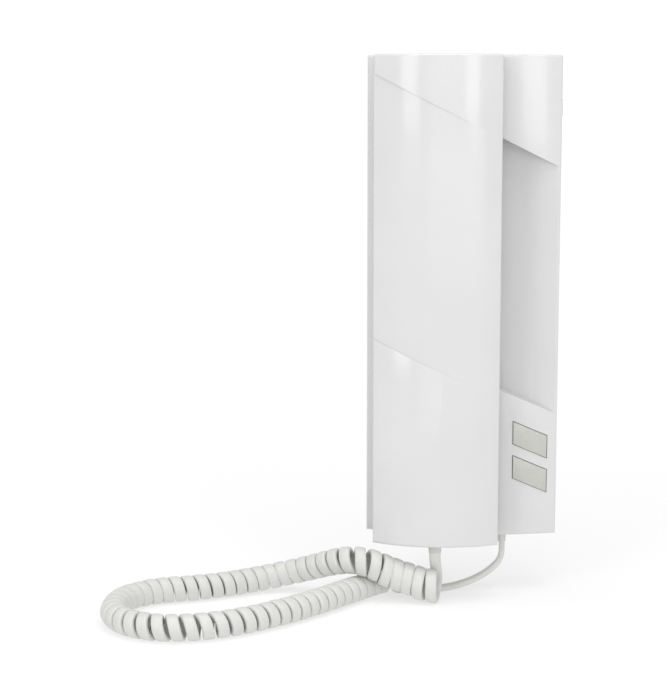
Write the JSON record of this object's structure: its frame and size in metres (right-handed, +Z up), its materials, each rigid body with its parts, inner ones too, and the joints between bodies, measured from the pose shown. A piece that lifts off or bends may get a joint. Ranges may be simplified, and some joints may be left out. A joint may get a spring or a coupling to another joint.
{
  "type": "wall phone",
  "caption": "Slim wall phone for a door-entry system: flat base with two slanted push buttons, lift-off handset and a curly cord lying in a loop.",
  "frame": {"origin": "on the wall face of the base, midway between the two wall screws", "axes": "+Z up, +Y into the wall (the front faces -Y), +X to the right seen from the front"},
  "size_m": [0.1979, 0.1096, 0.241],
  "materials": {
    "white_shell": "gloss moulded ABS",
    "button_metal": "satin silver lacquer, fine brushed",
    "board_green": "solder-masked laminate",
    "black_plastic": "moulded, matt",
    "terminal_green": "moulded, matt",
    "screw_steel": "zinc plated",
    "spring_steel": "drawn wire",
    "white_plastic": "moulded, matt",
    "speaker_metal": "pressed steel",
    "foam": "foam rubber",
    "grey_rubber": "moulded rubber",
    "weight_steel": "plain bar",
    "cord_sleeve": "soft PVC",
    "cord_jacket": "soft PVC, satin",
    "capsule_metal": "drawn can"
  },
  "bodies": {
    "base": {"base_cover": "white_shell", "back_plate": "white_plastic", "main_board": "board_green", "ringer_board": "board_green", "line_terminals": "terminal_green", "terminal_screws": "screw_steel", "cover_screws": "screw_steel", "board_screws": "screw_steel", "ringer": "black_plastic", "volume_switch": "black_plastic", "plunger_spring": "spring_steel", "hook_microswitch": "black_plastic", "upper_button_switch": "black_plastic", "lower_button_switch": "black_plastic", "base_cord_grommet": "cord_sleeve", "cord_base_lead": "cord_jacket"},
    "handset": {"handset_front_shell": "white_shell", "handset_back_shell": "white_shell", "ear_speaker": "speaker_metal", "speaker_gasket": "foam", "microphone_boot": "grey_rubber", "microphone_capsule": "capsule_metal", "balance_weight": "weight_steel", "handset_screws": "screw_steel", "handset_cord_grommet": "cord_sleeve", "cord_handset_lead": "cord_jacket", "cord_coil": "cord_jacket"},
    "hook_plunger": {"hook_plunger": "white_plastic"},
    "upper_button": {"upper_button": "button_metal"},
    "lower_button": {"lower_button": "button_metal"},
    "volume_slider": {"volume_slider": "white_plastic"}
  },
  "joints": [
    {"name": "handset_lift", "type": "slide", "parent": "base", "child": "handset", "axis": [0, -1, 0], "range_m": [0, 0.05]},
    {"name": "plunger_slide", "type": "slide", "parent": "base", "child": "hook_plunger", "axis": [0, -1, 0], "range_m": [0, 0.004]},
    {"name": "upper_button_press", "type": "slide", "parent": "base", "child": "upper_button", "axis": [0, 1, 0], "range_m": [0, 0.001], "stiffness_N_per_m": 600, "springref_m": -0.001},
    {"name": "lower_button_press", "type": "slide", "parent": "base", "child": "lower_button", "axis": [0, 1, 0], "range_m": [0, 0.001], "stiffness_N_per_m": 600, "springref_m": -0.001},
    {"name": "volume_slide", "type": "slide", "parent": "base", "child": "volume_slider", "axis": [0, 0, 1], "range_m": [0, 0.0022]}
  ],
  "couplings": [
    {"joint": "plunger_slide", "follows": "handset_lift", "ratio": 0.08}
  ]
}
